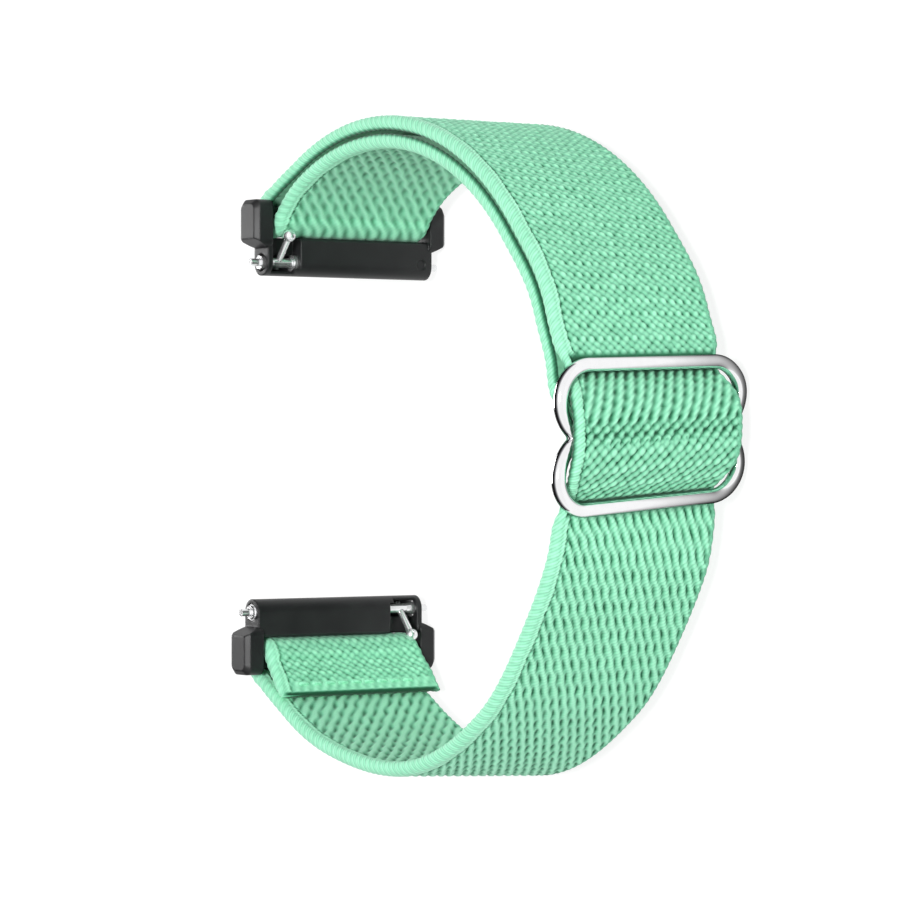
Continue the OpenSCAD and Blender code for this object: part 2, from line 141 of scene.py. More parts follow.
CENTER_BAR_X = SLIDER_X - WIRE_R - CENTER_BAR_D / 2 + WELD_DEPTH
SLIDER_WRAP_R = CENTER_BAR_D / 2 + WEBBING_GAP + TIGHT_T / 2
SLIDER_LOOP_W = 2 * (PINCH_Z - WIRE_R - 2 * WEBBING_GAP)
RISE = CENTER_BAR_X - SLIDER_WRAP_R - INNER_R
BOW_OVER = max(SLIDER_X + WIRE_R, CENTER_BAR_X + SLIDER_WRAP_R + TIGHT_T / 2)
BOW = BOW_OVER + WEBBING_GAP + WEBBING_T / 2 - OUTER_R

# The row frame's origin, in the middle of the face that the band stands on

HALF_W = WEBBING_W / 2 + SIDE_GAP + WING_T
BACK_X = PAIR_R * math.cos(math.radians(max(UPPER_ANGLE, LOWER_ANGLE))) - BAR_WRAP_R - WEBBING_T / 2
FRONT_X = (OUTER_R + BOW) * math.cos(math.radians(SLIDER_ANGLE)) + WEBBING_T / 2
CENTER_X = (BACK_X + FRONT_X) / 2

# How the photographed band departs from the plain solids

# height, angle from the slider and reach of each place where the cloth leaves its circle
SAGS = ((0.55, 25, 15), (-0.6, -36, 20), (0.55, -81, 25))
# above 1 for a fuller hump over the slider's centre bar
FULL_HUMP = 1.6
# the tail's end spreads, lies to the far side and is pressed thinner
TAIL_SPREAD = 0.4
TAIL_SHIFT = 0.35
TAIL_PRESS = 0.34
# the cloth tilts along the bottom of the loop, and stands fuller round the strap bars
BOTTOM_TILT = 0.45
BOTTOM_ANGLE = -88
BOTTOM_REACH = 34
FOLD_FULLNESS = 0.2
# the slider's bars press the cloth thinner and gather it, and it spreads between them
BAR_PRESS = 0.2
BAR_GATHER = 0.75
WINDOW_SPREAD = 0.3
# the slider's wire and centre bar stand out further, and the wire is narrower
WIRE_STAND_OFF = 0.3
WIRE_NARROWING = 0.98
CENTER_BAR_STAND_OFF = 0.25
CENTER_BAR_INSET = 0.55
# shift of each outer bar up the band in its middle, and its climb for each mm to the far side
UPPER_BAR_SHIFT = -0.10
UPPER_BAR_CLIMB = 0.032
LOWER_BAR_SHIFT = 0.70
LOWER_BAR_CLIMB = 0.080

TURN = 2 * math.pi


def to_row(points):
    """Points in mm in the loop's frame, as metres in the row frame."""
    p = np.asarray(points, float)
    return (p + np.array([-CENTER_X, 0.0, HALF_W])) / 1000.0


def polar(r, degrees):
    a = np.radians(degrees)
    return np.stack([np.asarray(r) * np.cos(a), np.asarray(r) * np.sin(a)], -1)


def turned(xy, degrees):
    a = math.radians(degrees)
    m = np.array([[math.cos(a), math.sin(a)], [-math.sin(a), math.cos(a)]])
    return xy @ m


def ease(f):
    """A bell from 1 at 0 down to 0 at -1 and 1."""
    return (1 + np.cos(np.pi * np.minimum(np.abs(f), 1))) / 2


def smooth(f):
    """A smooth step from 0 at 0 to 1 at 1."""
    f = np.clip(f, 0, 1)
    return f * f * (3 - 2 * f)


def wave(f):
    """A wave from 0 to 1 and back for each whole number."""
    return 0.5 - 0.5 * np.cos(TURN * f)


# Path of the webbing, one strip from the sewn tail to the slider's centre bar

# points along each long stretch, and along each turn or short one
DENSE = 4000
ROUND = 400


def slider_r(r0, bulge, a, full=1.0):
    """Radius of a layer at an angle from the slider. A hump fuller than the solid's has full above 1."""
    fade = ease(np.maximum(np.abs(a) - BAR_ANGLE, 0) / BOW_REACH)
    lean = SLIDER_LEAN * np.clip(a / BAR_ANGLE, -1, 1)
    hump = ease(np.minimum(np.abs(a) / BAR_ANGLE, 1) ** full)
    sag = sum(height * ease((a - at) / reach) for height, at, reach in SAGS)
    return r0 + (SLIDER_BOW + lean) * fade + (bulge - SLIDER_BOW) * hump + sag


def slider_arc(r0, bulge, start, end, steps, full=1.0):
    """Points of a layer between two angles from the slider."""
    a = np.linspace(start, end, steps)
    return turned(polar(slider_r(r0, bulge, a, full), a), SLIDER_ANGLE)


def bezier(p0, d0, p3, d3, steps):
    """A smooth link from a place with its heading to another, as part.scad makes it."""
    p0, d0, p3, d3 = (np.asarray(v, float) for v in (p0, d0, p3, d3))
    h = 0.38 * np.linalg.norm(p3 - p0)
    f = np.linspace(0, 1, steps)[:, None]
    p1, p2 = p0 + h * d0, p3 - h * d3
    return (1 - f) ** 3 * p0 + 3 * (1 - f) ** 2 * f * p1 + 3 * (1 - f) * f * f * p2 + f ** 3 * p3


def strap_bar_turn(at, start, end_r, end):
    """The webbing from the outer circle round a strap bar and back on the wrist side."""
    over = 8
    bar = polar(PAIR_R, at)
    a0 = at - over
    a1 = at + 180 + over
    on = bar + polar(BAR_WRAP_R, a0)
    off = bar + polar(BAR_WRAP_R, a1)
    parts = [
        bezier(polar(OUTER_R, start), polar(1, start + 90), on, polar(1, a0 + 90), ROUND // 2),
        bar + polar(np.full(ROUND, BAR_WRAP_R), np.linspace(a0, a1, ROUND)),
        bezier(off, polar(1, a1 + 90), polar(end_r, end), polar(1, end - 90), ROUND // 2),
    ]
    return np.concatenate([parts[0][:-1], parts[1], parts[2][1:]])


def center_bar_turn():
    """The strip's end round the slider's centre bar and back against itself."""
    out_again = 390
    around = np.array([CENTER_BAR_X, 0.0]) + polar(
        np.full(ROUND, SLIDER_WRAP_R), np.linspace(180, out_again, ROUND))
    sewn_r = float(slider_r(INNER_R, RISE, SLIDER_TAIL_END)) + TIGHT_T + 2 * WEBBING_GAP
    back = bezier(around[-1], polar(1, out_again + 90),
                  polar(sewn_r, SLIDER_TAIL_END), polar(1, SLIDER_TAIL_END + 90), ROUND // 4)
    return turned(np.concatenate([around, back[1:]]), SLIDER_ANGLE)


def webbing_path():
    """Dense points of the strip, their arc lengths, and the arc lengths at which its pieces part."""
    lower_turn = strap_bar_turn(LOWER_ANGLE, LOWER_START, TAIL_R, TAIL_END)
    parts = [
        lower_turn[::-1] * np.array([1, -1]),
        slider_arc(OUTER_R, BOW, -LOWER_START - SLIDER_ANGLE, 0, DENSE, FULL_HUMP),
        slider_arc(OUTER_R, BOW, 0, UPPER_START - SLIDER_ANGLE, DENSE, FULL_HUMP),
        strap_bar_turn(UPPER_ANGLE, UPPER_START, INNER_R, UPPER_START),
        slider_arc(INNER_R, RISE, UPPER_START - SLIDER_ANGLE, SLIDER_LOOP_START, DENSE),
        slider_arc(INNER_R, RISE, SLIDER_LOOP_START, 0, ROUND),
        center_bar_turn(),
    ]
    parts = [parts[0]] + [part[1:] for part in parts[1:]]
    points = np.concatenate(parts)
    lengths = np.concatenate([[0], np.cumsum(np.linalg.norm(np.diff(points, axis=0), axis=1))])
    ends = np.cumsum([len(part) for part in parts]) - 1
    return points, lengths, [0.0] + [float(lengths[k]) for k in ends]


PATH, PATH_S, MARKS = webbing_path()
TAIL_S, LOWER_FOLD_END, SLIDER_S, UPPER_FOLD_START, INNER_START, LEAD_START, LEAD_END, STRIP_END = MARKS


def length_to_bar():
    """Distance along the cloth from the slider's middle to its upper bar."""
    above = (PATH_S > SLIDER_S) & (PATH_S < SLIDER_S + 1.5 * BAR_Y)
    height = turned(PATH[above], -SLIDER_ANGLE)[:, 1]
    return float(np.interp(BAR_Y, height, PATH_S[above])) - SLIDER_S


BAR_S = length_to_bar()


def path_at(place, lo, hi):
    """The arc length of the path's point nearest a place, between two arc lengths."""
    between = np.flatnonzero((PATH_S >= lo) & (PATH_S <= hi))
    away = np.linalg.norm(PATH[between] - place, axis=1)
    return float(PATH_S[between[np.argmin(away)]])


def slider_climb(y, z):
    """Shift along Y of the slider and the cloth in it. Both bars climb to the far side."""
    upper = (np.clip(y / BAR_Y, -1, 1) + 1) / 2
    shift = LOWER_BAR_SHIFT + (UPPER_BAR_SHIFT - LOWER_BAR_SHIFT) * upper
    climb = LOWER_BAR_CLIMB + (UPPER_BAR_CLIMB - LOWER_BAR_CLIMB) * upper
    return shift - climb * z


def path_points(s):
    return np.stack([np.interp(s, PATH_S, PATH[:, k]) for k in (0, 1)], -1)


def path_normals(s):
    """Normals to the right of the way that the strip runs."""
    ahead = path_points(np.minimum(s + 0.05, PATH_S[-1])) - path_points(np.maximum(s - 0.05, 0))
    ahead /= np.linalg.norm(ahead, axis=1)[:, None]
    return np.stack([ahead[:, 1], -ahead[:, 0]], -1)


def tail_share(s):
    """From 0 before the sewn tail to 1 at its end."""
    return smooth((TAIL_LEN + 0.6 - s) / 6)


def half_sizes(s):
    """Half thickness and half width of the cloth."""
    drawn = smooth((s - LEAD_START) / (LEAD_END - LEAD_START))
    ht = (WEBBING_T + (TIGHT_T - WEBBING_T) * drawn) / 2
    hw = (WEBBING_W + (SLIDER_LOOP_W - WEBBING_W) * drawn) / 2
    from_middle = np.abs(s - SLIDER_S)
    from_bar = from_middle - BAR_S
    pressed = np.exp(-(from_bar / 1.5) ** 2)
    gathered = np.exp(-(from_bar / np.where(from_bar < 0, 2.8, 1.3)) ** 2)
    between = smooth((5.8 - from_middle) / 3)
    ht = ht - BAR_PRESS * pressed
    hw = hw + WINDOW_SPREAD * between - BAR_GATHER * gathered
    return ht, hw + TAIL_SPREAD * tail_share(s)


def fullness(p):
    """From 0 to 1, how far each place lies round a strap bar, where the cloth stands fuller."""
    full = np.zeros(len(p))
    for angle, side in ((UPPER_ANGLE, 1), (LOWER_ANGLE, -1)):
        away = np.linalg.norm(p - polar(PAIR_R, angle) * np.array([1, side]), axis=1)
        full = np.maximum(full, smooth((BAR_WRAP_R + 0.6 - away) / 0.5))
    return full


def stations(s0, s1, step):
    """Arc lengths, places, normals, half thicknesses, half widths and fullness from s0 to s1."""
    count = max(2, int(round((s1 - s0) / step)) + 1)
    s = np.linspace(s0, s1, count)
    p = path_points(s)
    normal = path_normals(s)
    ht, hw = half_sizes(s)
    # the sewn tail is pressed flat towards its end, and rounded off there
    pressed = ht - TAIL_PRESS * smooth(1 - s / 2.6)
    p = p - normal * (ht - pressed)[:, None]
    tip = np.clip(1 - s / 0.4, 0, 1)
    ht = pressed * (0.4 + 0.6 * np.sqrt(1 - tip * tip))
    return s, p, normal, ht, hw, fullness(p)


# Weave: heights from 0 in the pits to 1 on the threads, by the distance s along the strip and
# v across it. Each kind has its pitch across, and its pitch along or the slope of its ridges.

# width of the rolled edge, and depth of the deepest pits
SELVEDGE = 1.25
NUB_DEPTH = 0.42
# pitches in the slider's window and above the slider
WINDOW_ACROSS = 1.22
UPPER_ACROSS = 1.05
UPPER_ALONG = 0.89
# pitch of the threads that are wound round the edges, in bunches
BUNCH = 0.95


def lot(i, j):
    """A fixed random number from 0 to 1 for each pair of counts."""
    x = np.sin(12.9898 * i + 78.233 * j) * 437.585
    return x - np.floor(x)


def nubs(s, v, across, along, slant, swap, wide, tall):
    """Nubs in staggered rows. They lean by slant, and by swap more and less in turn, row by row."""
    best = 0.16 + 0.10 * np.sin(5.1 * s + 2.3 * v) * np.sin(3.7 * v - 4.4 * s)
    best = best + 0.12 * np.cos(TURN * s / (1.5 * along))
    nearest = np.round(2 * s / along)
    for row in (nearest - 1, nearest, nearest + 1):
        odd = np.mod(row, 2)
        ds = s - row * along / 2
        dv = v - odd * across / 2 - (slant + swap * (1 - 2 * odd)) * ds
        column = np.round(dv / across)
        dv = dv - (column + 0.14 * (lot(row, column) - 0.5)) * across
        ds = ds + 0.16 * (lot(column, row + 7) - 0.5) * along
        away = (dv / (wide * across)) ** 2 + (ds / (tall * along)) ** 2
        size = 0.78 + 0.14 * lot(column, row) + 0.08 * np.cos(TURN * row / 3)
        best = np.maximum(best, np.sqrt(np.clip(1 - away, 0, 1)) * size)
    return best


def twill(s, v, across, slope, narrow, dark, hatch):
    """Slanting ridges, and valleys between them with dark cells and fine crossing threads. A higher
    narrow makes the valleys narrower, dark is the cells' share of their depth, and hatch is the
    depth of the crossing threads."""
    wander = 0.05 * np.sin(1.9 * s + 0.8 * v) + 0.04 * np.sin(4.3 * s - 2.1 * v)
    ridge = v / across - slope * s + wander
    column = v / across + wander
    valley = wave(ridge) ** narrow
    pick = lot(np.floor(column), np.floor(ridge))
    threads = wave((0.85 * s + 0.75 * v) / 0.48)
    deep = valley * (1 - dark + dark * wave(column) * (0.55 + 0.45 * pick))
    return np.clip(1 - deep - hatch * threads * (1 - 0.6 * deep), 0, 1)


def ribs(s, v, slope):
    """Long ribs of small twisted nubs, drawn tight over the slider, with gaps near its bar."""
    wander = 0.05 * np.sin(1.3 * s + 0.9 * v)
    rib = v / WINDOW_ACROSS + slope * s + wander
    valley = wave(rib) ** 1.15
    count = np.floor(rib)
    cell = wave(s / 1.15 + 0.5 * np.mod(count, 2) + 0.5)
    twist = wave(s / 0.54 + 1.2 * v + 0.5)
    gap = smooth((s - SLIDER_S - BAR_S + 2.5) / 1.3)
    depth = 0.55 + 0.35 * cell * (0.4 + 0.6 * lot(count, np.round(s / 1.15)))
    return np.clip(1.02 - 0.27 * twist - valley * (depth - 0.2 * twist + (1.1 - depth) * gap), 0, 1)


def upper_weave(s, v):
    """The fine weave above the slider, with darker pits along every third row."""
    h = nubs(s, v, UPPER_ACROSS, UPPER_ALONG, slant=0.1, swap=0.2, wide=0.46, tall=0.52)
    row = s / (1.5 * UPPER_ALONG)
    third = np.round(row)
    column = v / UPPER_ACROSS + 0.5 * third
    depth = 0.65 * (0.15 + 0.85 * lot(np.floor(column), third))
    return h * (1 - depth * np.exp(-((row - third) / 0.2) ** 2) * wave(column) ** 2)


def window_pits(s, v):
    """The share of the height that is left by three rows of small dark pits across the window."""
    left = 1.0
    for k in range(3):
        column = wave(v / WINDOW_ACROSS + 0.5 * k + 0.35 * s + 0.5)
        along = (s - SLIDER_S - 0.1 - 0.72 * k) / 0.24
        left = left * (1 - 0.8 * np.exp(-along ** 2) * column ** 2)
    return left


def right_face(s, v):
    """The weave on the strip's right-hand face, from the folds to the slider and the inner layer."""
    fold = nubs(s, v, across=1.08, along=0.84, slant=0.0, swap=0.2, wide=0.45, tall=0.54)
    lower = 0.14 + 0.94 * twill(s, v, across=1.07, slope=0.57, narrow=1.15, dark=0.62, hatch=0.32)
    low_window = nubs(s, v, across=1.15, along=1.12, slant=-0.28, swap=0.0, wide=0.42, tall=0.48)
    middle = nubs(s, v, WINDOW_ACROSS, along=1.2, slant=-0.35, swap=0.0, wide=0.40, tall=0.42)
    inner = 0.26 + 0.66 * twill(s, v, across=1.43, slope=0.575, narrow=0.9, dark=0.5, hatch=0.10)
    # where each kind begins, in the order of the strip
    regions = (
        (LOWER_FOLD_END, lower),
        (SLIDER_S - BAR_S, low_window),
        (SLIDER_S - 0.8, middle),
        (SLIDER_S + 0.9, ribs(s, v, slope=0.44)),
        (SLIDER_S + BAR_S, upper_weave(s, v)),
        ((UPPER_FOLD_START + INNER_START) / 2, inner),
        (LEAD_START + 1.0, fold),
    )
    h = fold
    for start, kind in regions:
        share = smooth((s - start + 0.3 * np.cos(TURN * v / WINDOW_ACROSS)) / 0.5 + 0.5)
        h = h * (1 - share) + kind * share
    h = h * window_pits(s, v)
    # a row of larger, lighter nubs along the tail's sewn end
    end = 0.7 * smooth((1.7 - s) / 0.4)
    return h * (1 - end) + (0.80 + 0.18 * np.cos(TURN * (v / 1.2 + 0.3 * s))) * end


def left_face(s, v):
    """The weave on the strip's left-hand face, the inside of the loop."""
    return 0.14 + 0.76 * twill(s, v, across=1.43, slope=0.575, narrow=1.9, dark=0.5, hatch=0.08)


def face_height(s, v, hw, side):
    """Weave height on a face, 0 to 1, with painted shade beside the slider's bars, and how far the
    selvedge has taken over.
    """
    from_middle = np.abs(s - SLIDER_S)
    tooth = np.mod(s / 0.62 + 0.3 * np.sin(2.1 * s), 1.0)
    ragged = 0.18 * tooth * (1 - smooth((tooth - 0.75) / 0.25)) + 0.05 * np.sin(TURN * s / 5.3)
    # the far selvedge hardly shows, and the near one is narrower in the slider's window
    narrower = np.where(v > 0, 0.4 * smooth(BAR_S - from_middle), 0.8)
    edge = hw - SELVEDGE - ragged + narrower
    past = np.abs(v) - edge
    roll = smooth(past / 0.14)
    patch = 0.35 + 0.65 * smooth(0.5 + np.cos(TURN * s / BUNCH + 1.5 * np.sin(0.9 * s)))
    groove = np.exp(-((past + 0.10) / 0.15) ** 2) * patch * np.where(v > 0, 0.6, 0.3)
    rim = 0.80 + 0.20 * np.exp(-((past - 0.22) / 0.2) ** 2)
    body = right_face(s, v) if side > 0 else left_face(s, v)
    h = (body * (1 - roll) + rim * roll) * (1 - groove)
    # painted shade: the weave height drops right beside the slider's bars, which darkens the cloth's
    # colour there and sinks its face a little
    if side > 0:
        reach = np.where((s > SLIDER_S) & (from_middle < BAR_S), 1.15, 0.95)
        h = h * (1 - np.exp(-((from_middle - BAR_S) / reach) ** 6))
    return np.clip(h, 0, 1), roll


# The strip's mesh: columns round its section, along rows of stations

FACE_COLUMNS = 150
HIDDEN_FACE_COLUMNS = 14
EDGE_COLUMNS = 15


def section_columns(left):
    """Columns round the section: the right face, an edge, the left face and the other edge."""
    columns = []
    for side, count in ((1, FACE_COLUMNS), (-1, FACE_COLUMNS if left else HIDDEN_FACE_COLUMNS)):
        columns += [("face", side, f) for f in side * np.linspace(-1, 1, count)]
        columns += [("edge", side, f) for f in np.linspace(0, 1, EDGE_COLUMNS + 2)[1:-1]]
    return columns


def face_column(at, side, f, shown):
    """Offset from the middle, place across, weave height with its painted shade, and selvedge share of a
    face's column.
    """
    s, _, _, ht, hw, full = at
    v = f * (hw - ht)
    high, roll = face_height(s, v, hw, side) if shown else (np.full(len(s), 0.75), np.zeros(len(s)))
    puff = full if side > 0 else np.zeros(len(s))
    depth = NUB_DEPTH * ht / (WEBBING_T / 2) * (1 - 0.55 * puff)
    return side * (ht - depth * (1 - high)) + FOLD_FULLNESS * puff, v, high, roll


def edge_column(at, side, f, left):
    """The same for a rolled edge's column. Its colour has painted shade where the edge turns towards
    another layer and beside the slider's bars, and is darker on the far edge.
    """
    s, _, _, ht, hw, full = at
    a = side * math.pi * (0.5 - f)
    bunches = np.cos(TURN * s / BUNCH + 2.2 * f * math.pi * ht)
    r = ht - 0.035 * (1 - bunches)
    offset = r * math.sin(a) + FOLD_FULLNESS * full * max(math.sin(a), 0)
    v = side * (hw - ht + r * math.cos(a))
    # painted shade: the edge's colour darkens where it turns to a face that another layer hides, and
    # near the slider's bars
    free_of_painted_layer_shade = 1.0 if left else smooth((math.sin(a) + 1.0) / 0.5)
    painted_bar_shade = smooth((BAR_S + 0.8 - np.abs(s - SLIDER_S)) / 1.5) * (1 - smooth((math.sin(a) + 0.2) / 0.9))
    high = (0.80 + 0.06 * bunches) * (0.06 + 0.94 * free_of_painted_layer_shade) * (1 - 0.95 * painted_bar_shade)
    return offset, v, high * (1.0 if side > 0 else 0.7), np.ones(len(s))


def laid(at, offset, v):
    """The columns' points, in rows, with the cloth lying as askew as in the photo."""
    s, p, normal, _, hw, _ = at
    z = v - TAIL_SHIFT * tail_share(s)[:, None]
    from_bottom = np.degrees(np.arctan2(p[:, 1], p[:, 0])) - BOTTOM_ANGLE
    tilt = BOTTOM_TILT * ease(from_bottom / BOTTOM_REACH) * (s > LOWER_FOLD_END) * (s < SLIDER_S)
    offset = offset - tilt[:, None] * z / hw[:, None]
    xy = p[:, None, :] + normal[:, None, :] * offset[:, :, None]
    near_slider = smooth((BAR_S + 7 - np.abs(s - SLIDER_S)) / 6) * (s < UPPER_FOLD_START)
    xy[:, :, 1] += near_slider[:, None] * slider_climb(xy[:, :, 1], z)
    return np.concatenate([xy, z[:, :, None]], -1)


def strip_mesh(name, points, start_cap, end_cap):
    """A skin over rows of section points, open or closed at its two ends."""
    rows, columns = points.shape[:2]
    row, column = np.meshgrid(np.arange(rows - 1), np.arange(columns), indexing="ij")
    a = row * columns + column
    b = row * columns + (column + 1) % columns
    faces = np.stack([a, b, b + columns, a + columns], -1).reshape(-1, 4).tolist()
    if start_cap:
        faces.append(list(range(columns))[::-1])
    if end_cap:
        faces.append([(rows - 1) * columns + k for k in range(columns)])
    mesh = bpy.data.meshes.new(name)
    mesh.from_pydata(to_row(points.reshape(-1, 3)).tolist(), [], faces)
    mesh.update()
    return mesh


def point_values(mesh, name, values):
    attribute = mesh.attributes.new(name, "FLOAT", "POINT")
    attribute.data.foreach_set("value", values.astype(np.float32).ravel())


def strip_map(mesh, s, across):
    """The UV map of the strip laid flat, in cm."""
    flat = np.stack([np.repeat(s, across.shape[1]), across.ravel()], -1) / 10
    corners = np.zeros(len(mesh.loops), np.int64)
    mesh.loops.foreach_get("vertex_index", corners)
    layer = mesh.uv_layers.new(name="strip")
    layer.data.foreach_set("uv", flat[corners].astype(np.float32).ravel())


def show(name, mesh):
    mesh.polygons.foreach_set("use_smooth", [True] * len(mesh.polygons))
    obj = bpy.data.objects.new(name, mesh)
    scene.collection.objects.link(obj)
    return obj


def webbing_piece(name, s0, s1, left=True, wound=1.0, start_cap=False, end_cap=False, step=0.1):
    """The strip from s0 to s1. A left face that another layer hides is plain, and wound is how
    clearly the threads round the edges show."""
    at = stations(s0, s1, step)
    s, _, normal, _, hw, _ = at
    columns = section_columns(left)
    made = []
    for kind, side, f in columns:
        if kind == "face":
            made.append(face_column(at, side, f, shown=left or side > 0))
        else:
            made.append(edge_column(at, side, f, left))
    offset, v, high, roll = (np.stack(part, -1) for part in zip(*made))
    # painted shade: the colour of the tail's sewn end darkens inward from its edges, standing in for the
    # end's own shadow
    if start_cap:
        painted_end_shade_reach = smooth((hw[:, None] - np.abs(v)) / 0.9)
        high *= 1 - painted_end_shade_reach * (1 - smooth((s - 0.05) / 0.25)[:, None])
    mesh = strip_mesh(name, laid(at, offset, v), start_cap, end_cap)
    if mesh.polygons[0].normal.dot(Vector((*normal[0], 0))) < 0:
        mesh.flip_normals()
    # the weave attribute holds the weave height together with the painted shade, and sets the cloth's
    # colour
    point_values(mesh, "weave", high)
    point_values(mesh, "selvedge", wound * roll)
    across = np.array([f if kind == "face" else side * (1 + 0.2 * f) for kind, side, f in columns])
    strip_map(mesh, s, across[None, :] * hw[:, None])
    return show(name, mesh)


# Wires

CAP_RINGS = 6


def tube(centre, radius, sides=28):
    """Points and faces of a round wire along some places, with hemispherical ends."""
    c = np.asarray(centre, float)
    t = np.gradient(c, axis=0)
    t /= np.linalg.norm(t, axis=1)[:, None]
    side = np.zeros_like(t)
    side[:, 0] = 1
    side -= t * np.sum(side * t, axis=1)[:, None]
    side /= np.linalg.norm(side, axis=1)[:, None]
    other = np.cross(t, side)

    def cap_ring(end, way, k):
        a = math.pi / 2 * k / CAP_RINGS
        return c[end] + way * t[end] * radius * math.sin(a), side[end], other[end], radius * math.cos(a)

    rings = [cap_ring(0, -1, k) for k in range(CAP_RINGS - 1, 0, -1)]
    rings += [(c[k], side[k], other[k], radius) for k in range(len(c))]
    rings += [cap_ring(-1, 1, k) for k in range(1, CAP_RINGS)]
    angles = np.linspace(0, TURN, sides, endpoint=False)[:, None]
    points = [at + r * (np.cos(angles) * u + np.sin(angles) * w) for at, u, w, r in rings]
    points.append(np.array([c[0] - t[0] * radius, c[-1] + t[-1] * radius]))
    first_tip = len(rings) * sides
    last = first_tip - sides
    faces = []
    for i in range(len(rings) - 1):
        for j in range(sides):
            a = i * sides + j
            b = i * sides + (j + 1) % sides
            faces.append((a, b, b + sides, a + sides))
    for j in range(sides):
        faces.append((first_tip, (j + 1) % sides, j))
        faces.append((first_tip + 1, last + j, last + (j + 1) % sides))
    return np.concatenate(points), faces


def wire_object(name, parts):
    """One object of several wires, from their points in metres in the row frame and their faces."""
    points, faces, base = [], [], 0
    for p, f in parts:
        points.append(p)
        faces += [tuple(base + k for k in q) for q in f]
        base += len(p)
    mesh = bpy.data.meshes.new(name)
    mesh.from_pydata(np.concatenate(points).tolist(), [], faces)
    mesh.update()
    return show(name, mesh)


def loop_wire(centre, radius, sides=28):
    """A wire given in mm in the loop's frame, as points and faces in the row frame."""
    points, faces = tube(centre, radius, sides)
    return to_row(points), faces


def half_figure(side):
    """Half of the slider's flat figure of eight, from one pinch over the bar to the other."""
    lobe = polar(LOBE_R, np.linspace(-LOBE_SWEEP, 0, 40)) + np.array([SIDE_Z - LOBE_R, CORNER_Y])
    corner = polar(SLIDER_CORNER_R, np.linspace(0, 90, 30)[1:]) + np.array([CORNER_Z, CORNER_Y])
    quarter = np.concatenate([lobe, corner])
    along = np.linspace(CORNER_Z, -CORNER_Z, 30)[1:-1]
    bar = np.stack([along, np.full(len(along), BAR_Y)], -1)
    zy = np.concatenate([quarter, bar, quarter[::-1] * np.array([-1, 1])])
    lean = math.degrees(math.atan(SLIDER_LEAN / BAR_Y))
    leant = turned(np.stack([np.zeros(len(zy)), side * zy[:, 1]], -1), -lean)
    xy = turned(leant + np.array([SLIDER_X + WIRE_STAND_OFF, 0]), SLIDER_ANGLE)
    climb = slider_climb(xy[:, 1], zy[:, 0])
    return np.stack([xy[:, 0], xy[:, 1] + climb, zy[:, 0] * WIRE_NARROWING], -1)


def center_bar():
    """The centre bar's middle line, which ends within the two pinches."""
    z = np.linspace(-1, 1, 30) * (PINCH_Z - CENTER_BAR_INSET)
    xy = turned(np.array([[CENTER_BAR_X + CENTER_BAR_STAND_OFF, 0.0]]), SLIDER_ANGLE)
    return np.column_stack([np.repeat(xy, len(z), axis=0), z])


def stitch_row(at, width):
    """A row of stitches across the cloth's right-hand face, each drawn into it at both ends."""
    _, p, normal, ht, _, _ = stations(at, at + 0.1, 0.1)
    count = int((width - 2 * WEBBING_T) / STITCH_PITCH)
    length = 0.7 * STITCH_PITCH
    f = np.linspace(-1, 1, 13)
    lift = ht[0] - 0.02 - 0.3 * f ** 4
    xy = p[0] + normal[0] * lift[:, None]
    rows = []
    for k in range(count):
        z = (k - (count - 1) / 2) * STITCH_PITCH + f * length / 2
        rows.append(loop_wire(np.column_stack([xy, z]), THREAD_R, 12))
    return rows


def coil(name, lo, hi, wire_r, turns):
    """A coil spring that fills a box in the row frame."""
    f = np.linspace(0, 1, 16 * turns + 1)
    middle = (lo + hi) / 2
    xy = middle[:2] + polar((hi[0] - lo[0]) / 2 - wire_r, 360 * turns * f)
    z = lo[2] + wire_r + (hi[2] - lo[2] - 2 * wire_r) * f
    return wire_object(name, [tube(np.column_stack([xy, z]), wire_r, 8)])


# Materials

def material(name):
    made = bpy.data.materials.new(name)
    made.use_nodes = True
    return made, made.node_tree, made.node_tree.nodes["Principled BSDF"]


def node(nt, kind, **inputs):
    made = nt.nodes.new(kind)
    for key, value in inputs.items():
        made.inputs[key.replace("_", " ")].default_value = value
    return made


def grey(level):
    return (level, level, level)


def ramp(nt, source, stops):
    made = nt.nodes.new("ShaderNodeValToRGB")
    while len(made.color_ramp.elements) < len(stops):
        made.color_ramp.elements.new(0.5)
    for stop, (at, colour) in zip(made.color_ramp.elements, stops):
        stop.position = at
        stop.color = (*colour, 1)
    nt.links.new(source, made.inputs[0])
    return made.outputs[0]


def maths(nt, operation, *values):
    """A math node's result. Each value is a socket or a number."""
    made = nt.nodes.new("ShaderNodeMath")
    made.operation = operation
    for socket, value in zip(made.inputs, values):
        if isinstance(value, (int, float)):
            socket.default_value = value
        else:
            nt.links.new(value, socket)
    return made.outputs[0]


def multiplied(nt, colour, factor):
    made = nt.nodes.new("ShaderNodeMix")
    made.data_type = "RGBA"
    made.blend_type = "MULTIPLY"
    made.inputs[0].default_value = 1.0
    nt.links.new(colour, made.inputs[6])
    nt.links.new(factor, made.inputs[7])
    return made.outputs[2]


def noise(nt, place, scale, detail):
    made = node(nt, "ShaderNodeTexNoise", Scale=scale, Detail=detail)
    nt.links.new(place, made.inputs["Vector"])
    return made.outputs["Fac"]


def bump(nt, bsdf, height, strength, distance, normal=None):
    made = node(nt, "ShaderNodeBump", Strength=strength, Distance=distance)
    nt.links.new(height, made.inputs["Height"])
    if normal:
        nt.links.new(normal, made.inputs["Normal"])
    nt.links.new(made.outputs[0], bsdf.inputs["Normal"])


def object_place(nt):
    return nt.nodes.new("ShaderNodeTexCoord").outputs["Object"]


def point_value(nt, name):
    made = nt.nodes.new("ShaderNodeAttribute")
    made.attribute_name = name
    return made.outputs["Fac"]


